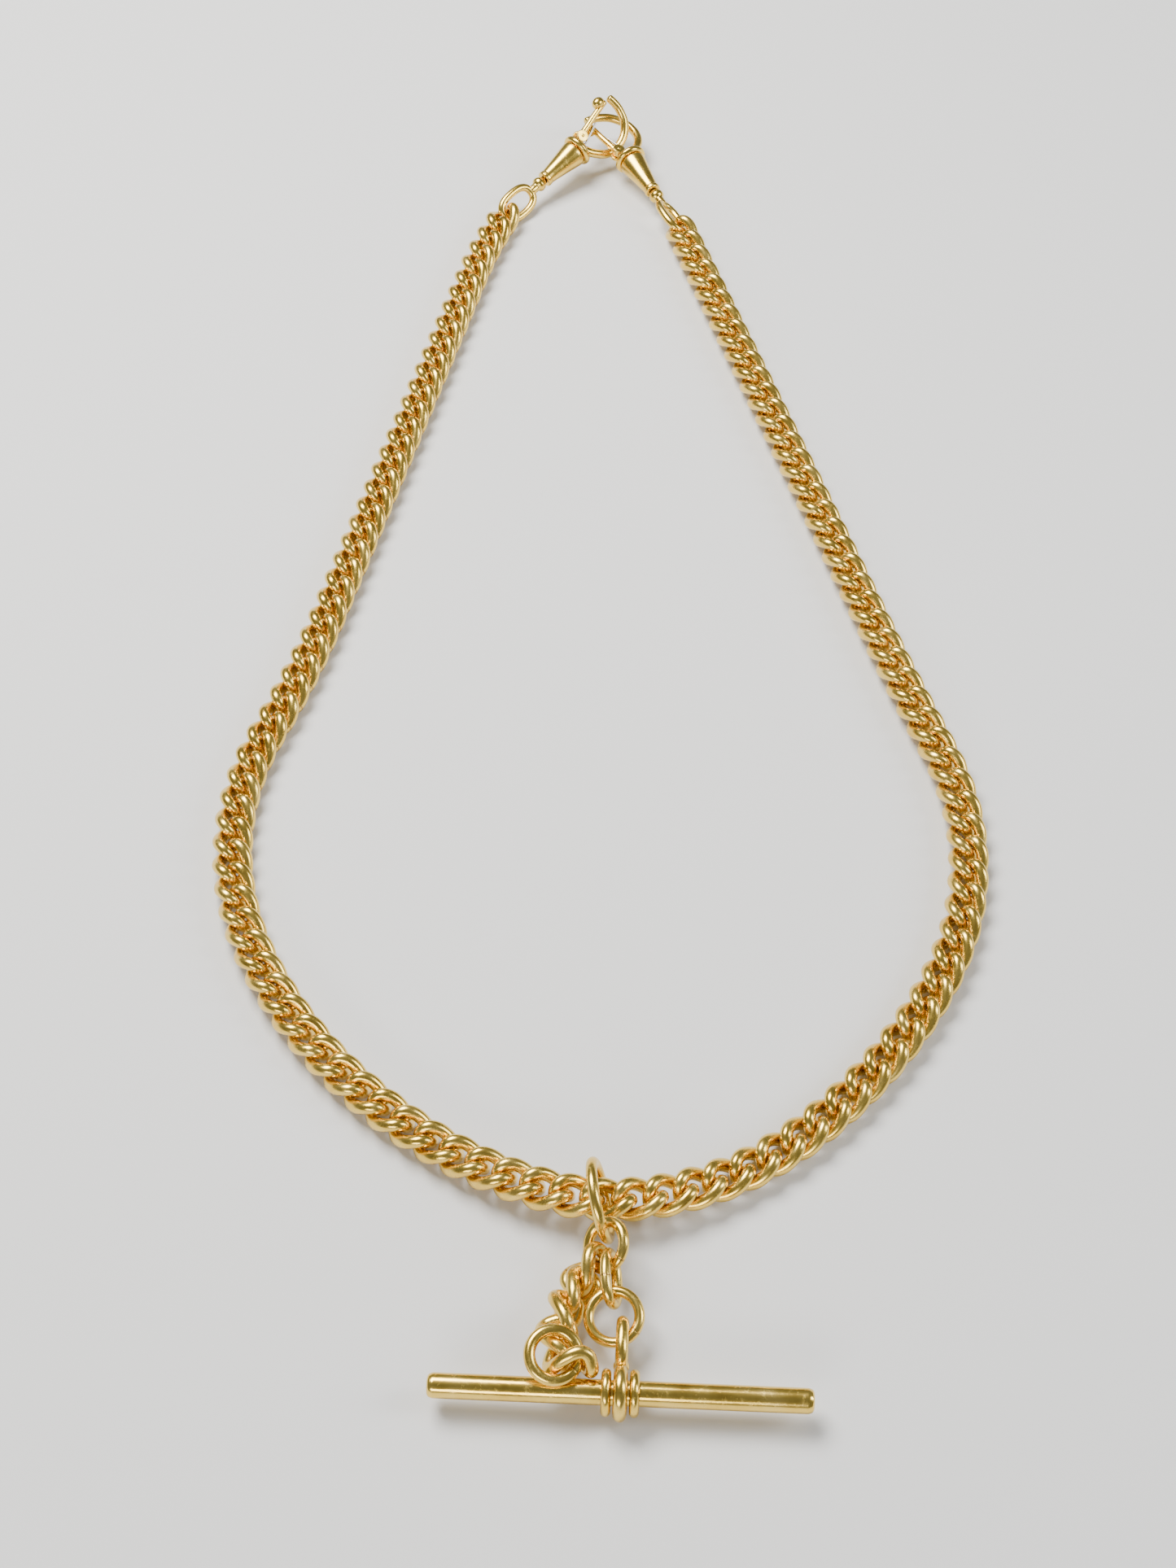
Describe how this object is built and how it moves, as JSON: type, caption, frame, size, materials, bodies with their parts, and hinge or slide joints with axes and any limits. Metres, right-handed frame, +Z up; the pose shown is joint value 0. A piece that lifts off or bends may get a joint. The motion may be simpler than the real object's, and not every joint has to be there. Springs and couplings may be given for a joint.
{
  "type": "pocket watch chain",
  "caption": "Gold double Albert watch chain of curb links with a T-bar on jump rings, a short fob drop and two swivel dog clips hooked together.",
  "frame": {"origin": "centre of the footprint, on the plane the chain lies on", "axes": "+Y from the T-bar to the hooked clips, +X to the right seen from the T-bar end, +Z up"},
  "size_m": [0.0904, 0.2038, 0.0089],
  "materials": {
    "chain_gold": "polished yellow gold",
    "ring_gold": "polished yellow gold",
    "bar_gold": "polished yellow gold",
    "clip_gold": "polished yellow gold",
    "gate_spring": "plain spring steel, hidden"
  },
  "bodies": {
    "middle": {"middle_links": "chain_gold"},
    "level_01": {"left_section_01": "chain_gold", "right_section_01": "chain_gold"},
    "level_02": {"left_section_02": "chain_gold", "right_section_02": "chain_gold"},
    "level_03": {"left_section_03": "chain_gold", "right_section_03": "chain_gold"},
    "level_04": {"left_section_04": "chain_gold", "right_section_04": "chain_gold"},
    "level_05": {"left_section_05": "chain_gold", "right_section_05": "chain_gold"},
    "level_06": {"left_section_06": "chain_gold", "right_section_06": "chain_gold"},
    "level_07": {"left_section_07": "chain_gold", "right_section_07": "chain_gold"},
    "level_08": {"left_section_08": "chain_gold", "right_section_08": "chain_gold"},
    "level_09": {"left_section_09": "chain_gold", "right_section_09": "chain_gold"},
    "level_10": {"left_section_10": "chain_gold", "right_section_10": "chain_gold"},
    "level_11": {"left_section_11": "chain_gold", "right_section_11": "chain_gold"},
    "level_12": {"left_section_12": "chain_gold", "right_section_12": "chain_gold"},
    "level_13": {"left_section_13": "chain_gold", "right_section_13": "chain_gold"},
    "clip_eyes": {"left_clip_eye": "clip_gold", "right_clip_eye": "clip_gold"},
    "left_barrel": {"left_clip_barrel": "clip_gold", "left_clip_collar": "clip_gold", "left_clip_hook": "clip_gold", "left_clip_gate_pin": "clip_gold", "left_clip_gate_spring": "gate_spring"},
    "left_gate": {"left_clip_gate": "clip_gold"},
    "right_barrel": {"right_clip_barrel": "clip_gold", "right_clip_collar": "clip_gold", "right_clip_hook": "clip_gold", "right_clip_gate_pin": "clip_gold", "right_clip_gate_spring": "gate_spring"},
    "right_gate": {"right_clip_gate": "clip_gold"},
    "big_ring": {"big_ring": "ring_gold"},
    "gathering_ring": {"gathering_ring": "ring_gold"},
    "oval_ring": {"oval_ring": "ring_gold"},
    "bar_ring": {"bar_ring": "ring_gold"},
    "bail": {"bail": "bar_gold"},
    "t_bar": {"t_bar": "bar_gold", "bar_collar_left": "bar_gold", "bar_collar_right": "bar_gold"},
    "fob_link_1": {"fob_link_1": "chain_gold"},
    "fob_link_2": {"fob_link_2": "chain_gold"},
    "fob_link_3": {"fob_link_3": "chain_gold"},
    "fob_link_4": {"fob_link_4": "chain_gold"},
    "fob_link_5": {"fob_link_5": "chain_gold"},
    "fob_ring": {"fob_ring": "ring_gold"}
  },
  "joints": [
    {"name": "fold_01", "type": "hinge", "parent": "middle", "child": "level_01", "pos_m": [-0.01334, -0.07341, 0.002], "axis": [0.9964, -0.0851, 0], "range_deg": [-12, 12]},
    {"name": "fold_02", "type": "hinge", "parent": "level_01", "child": "level_02", "pos_m": [-0.02417, -0.06588, 0.00159], "axis": [0.9983, -0.0582, 0], "range_deg": [-12, 12]},
    {"name": "fold_03", "type": "hinge", "parent": "level_02", "child": "level_03", "pos_m": [-0.03316, -0.05625, 0.00159], "axis": [0.999, -0.0444, 0], "range_deg": [-12, 12]},
    {"name": "fold_04", "type": "hinge", "parent": "level_03", "child": "level_04", "pos_m": [-0.03979, -0.04486, 0.00159], "axis": [0.9992, -0.0394, 0], "range_deg": [-12, 12]},
    {"name": "fold_05", "type": "hinge", "parent": "level_04", "child": "level_05", "pos_m": [-0.04289, -0.03209, 0.00159], "axis": [0.9993, -0.0379, 0], "range_deg": [-12, 12]},
    {"name": "fold_06", "type": "hinge", "parent": "level_05", "child": "level_06", "pos_m": [-0.04171, -0.019, 0.00159], "axis": [0.9993, -0.0382, 0], "range_deg": [-12, 12]},
    {"name": "fold_07", "type": "hinge", "parent": "level_06", "child": "level_07", "pos_m": [-0.0373, -0.00656, 0.00159], "axis": [0.9992, -0.04, 0], "range_deg": [-12, 12]},
    {"name": "fold_08", "type": "hinge", "parent": "level_07", "child": "level_08", "pos_m": [-0.03362, 0.00611, 0.00159], "axis": [0.999, -0.0448, 0], "range_deg": [-12, 12]},
    {"name": "fold_09", "type": "hinge", "parent": "level_08", "child": "level_09", "pos_m": [-0.03033, 0.0189, 0.00159], "axis": [0.9987, -0.0516, 0], "range_deg": [-12, 12]},
    {"name": "fold_10", "type": "hinge", "parent": "level_09", "child": "level_10", "pos_m": [-0.02705, 0.03168, 0.00159], "axis": [0.9982, -0.0603, 0], "range_deg": [-12, 12]},
    {"name": "fold_11", "type": "hinge", "parent": "level_10", "child": "level_11", "pos_m": [-0.02377, 0.04447, 0.00159], "axis": [0.9974, -0.0717, 0], "range_deg": [-12, 12]},
    {"name": "fold_12", "type": "hinge", "parent": "level_11", "child": "level_12", "pos_m": [-0.02049, 0.05725, 0.00159], "axis": [0.9962, -0.0871, 0], "range_deg": [-12, 12]},
    {"name": "fold_13", "type": "hinge", "parent": "level_12", "child": "level_13", "pos_m": [-0.0172, 0.07004, 0.00159], "axis": [0.994, -0.1091, 0], "range_deg": [-12, 12]},
    {"name": "fold_14", "type": "hinge", "parent": "level_13", "child": "clip_eyes", "pos_m": [-0.01271, 0.08244, 0.00159], "axis": [0.9909, -0.1347, 0], "range_deg": [-12, 0]},
    {"name": "left_swivel", "type": "hinge", "parent": "clip_eyes", "child": "left_barrel", "pos_m": [-0.00741, 0.08813, 0.00296], "axis": [0.6713, 0.7204, 0.174], "range_deg": [-5, 10]},
    {"name": "left_gate_hinge", "type": "hinge", "parent": "left_barrel", "child": "left_gate", "pos_m": [-0.00206, 0.09504, 0.00541], "axis": [-0.4703, 0.5956, -0.6512], "range_deg": [0, 20], "stiffness_Nm_per_rad": 0.002, "springref_deg": -5.73, "deforming": ["left_clip_gate_spring"]},
    {"name": "right_swivel", "type": "hinge", "parent": "clip_eyes", "child": "right_barrel", "pos_m": [0.00862, 0.08605, 0.00242], "axis": [-0.4514, 0.886, 0.1061], "range_deg": [-6, 6]},
    {"name": "right_gate_hinge", "type": "hinge", "parent": "right_barrel", "child": "right_gate", "pos_m": [0.00351, 0.09347, 0.0036], "axis": [-0.2143, 0.0078, -0.9767], "range_deg": [0, 20], "stiffness_Nm_per_rad": 0.002, "springref_deg": -5.73, "deforming": ["right_clip_gate_spring"]},
    {"name": "big_ring_swing", "type": "hinge", "parent": "middle", "child": "big_ring", "pos_m": [-0.00108, -0.07807, 0.00324], "axis": [0.995, -0.0995, 0], "range_deg": [-12, 12]},
    {"name": "gathering_ring_swing", "type": "hinge", "parent": "big_ring", "child": "gathering_ring", "pos_m": [0.00038, -0.08217, 0.00522], "axis": [0.2183, -0.1639, -0.962], "range_deg": [-8, 8]},
    {"name": "oval_ring_swing", "type": "hinge", "parent": "gathering_ring", "child": "oval_ring", "pos_m": [0.00088, -0.08552, 0.0048], "axis": [0.5878, 0.4343, 0.6825], "range_deg": [0, 8]},
    {"name": "bar_ring_swing", "type": "hinge", "parent": "oval_ring", "child": "bar_ring", "pos_m": [0.00072, -0.08934, 0.00384], "axis": [0.3435, -0.0043, -0.9391], "range_deg": [-8, 4]},
    {"name": "bail_swing", "type": "hinge", "parent": "bar_ring", "child": "bail", "pos_m": [0.00173, -0.09359, 0.002], "axis": [0.9689, 0.1926, 0.1551], "range_deg": [-2, 8]},
    {"name": "t_bar_turn", "type": "hinge", "parent": "bail", "child": "t_bar", "pos_m": [0.00157, -0.09912, 0.0028], "axis": [0.9988, -0.049, 0], "continuous": true},
    {"name": "fob_fold_1", "type": "hinge", "parent": "gathering_ring", "child": "fob_link_1", "pos_m": [-0.00089, -0.08394, 0.00286], "axis": [0.2382, -0.9694, -0.0593], "range_deg": [-6, 0]},
    {"name": "fob_fold_2", "type": "hinge", "parent": "fob_link_1", "child": "fob_link_2", "pos_m": [-0.00266, -0.08545, 0.00154], "axis": [0.862, 0.469, -0.1921], "range_deg": [-4, 0]},
    {"name": "fob_fold_3", "type": "hinge", "parent": "fob_link_2", "child": "fob_link_3", "pos_m": [-0.00332, -0.09033, 0.00219], "axis": [-0.6145, 0.219, -0.7579], "range_deg": [0, 6]},
    {"name": "fob_fold_4", "type": "hinge", "parent": "fob_link_3", "child": "fob_link_4", "pos_m": [-0.00563, -0.09293, 0.00312], "axis": [-0.2012, 0.3725, -0.9059], "range_deg": [-6, 6]},
    {"name": "fob_fold_5", "type": "hinge", "parent": "fob_link_4", "child": "fob_link_5", "pos_m": [-0.00473, -0.09611, 0.0033], "axis": [-0.26, -0.0058, -0.9656], "range_deg": [-6, 3]},
    {"name": "fob_ring_swing", "type": "hinge", "parent": "fob_link_5", "child": "fob_ring", "pos_m": [-0.00484, -0.09797, 0.00499], "axis": [0.5335, 0.0818, 0.8418], "range_deg": [-8, 8]}
  ]
}
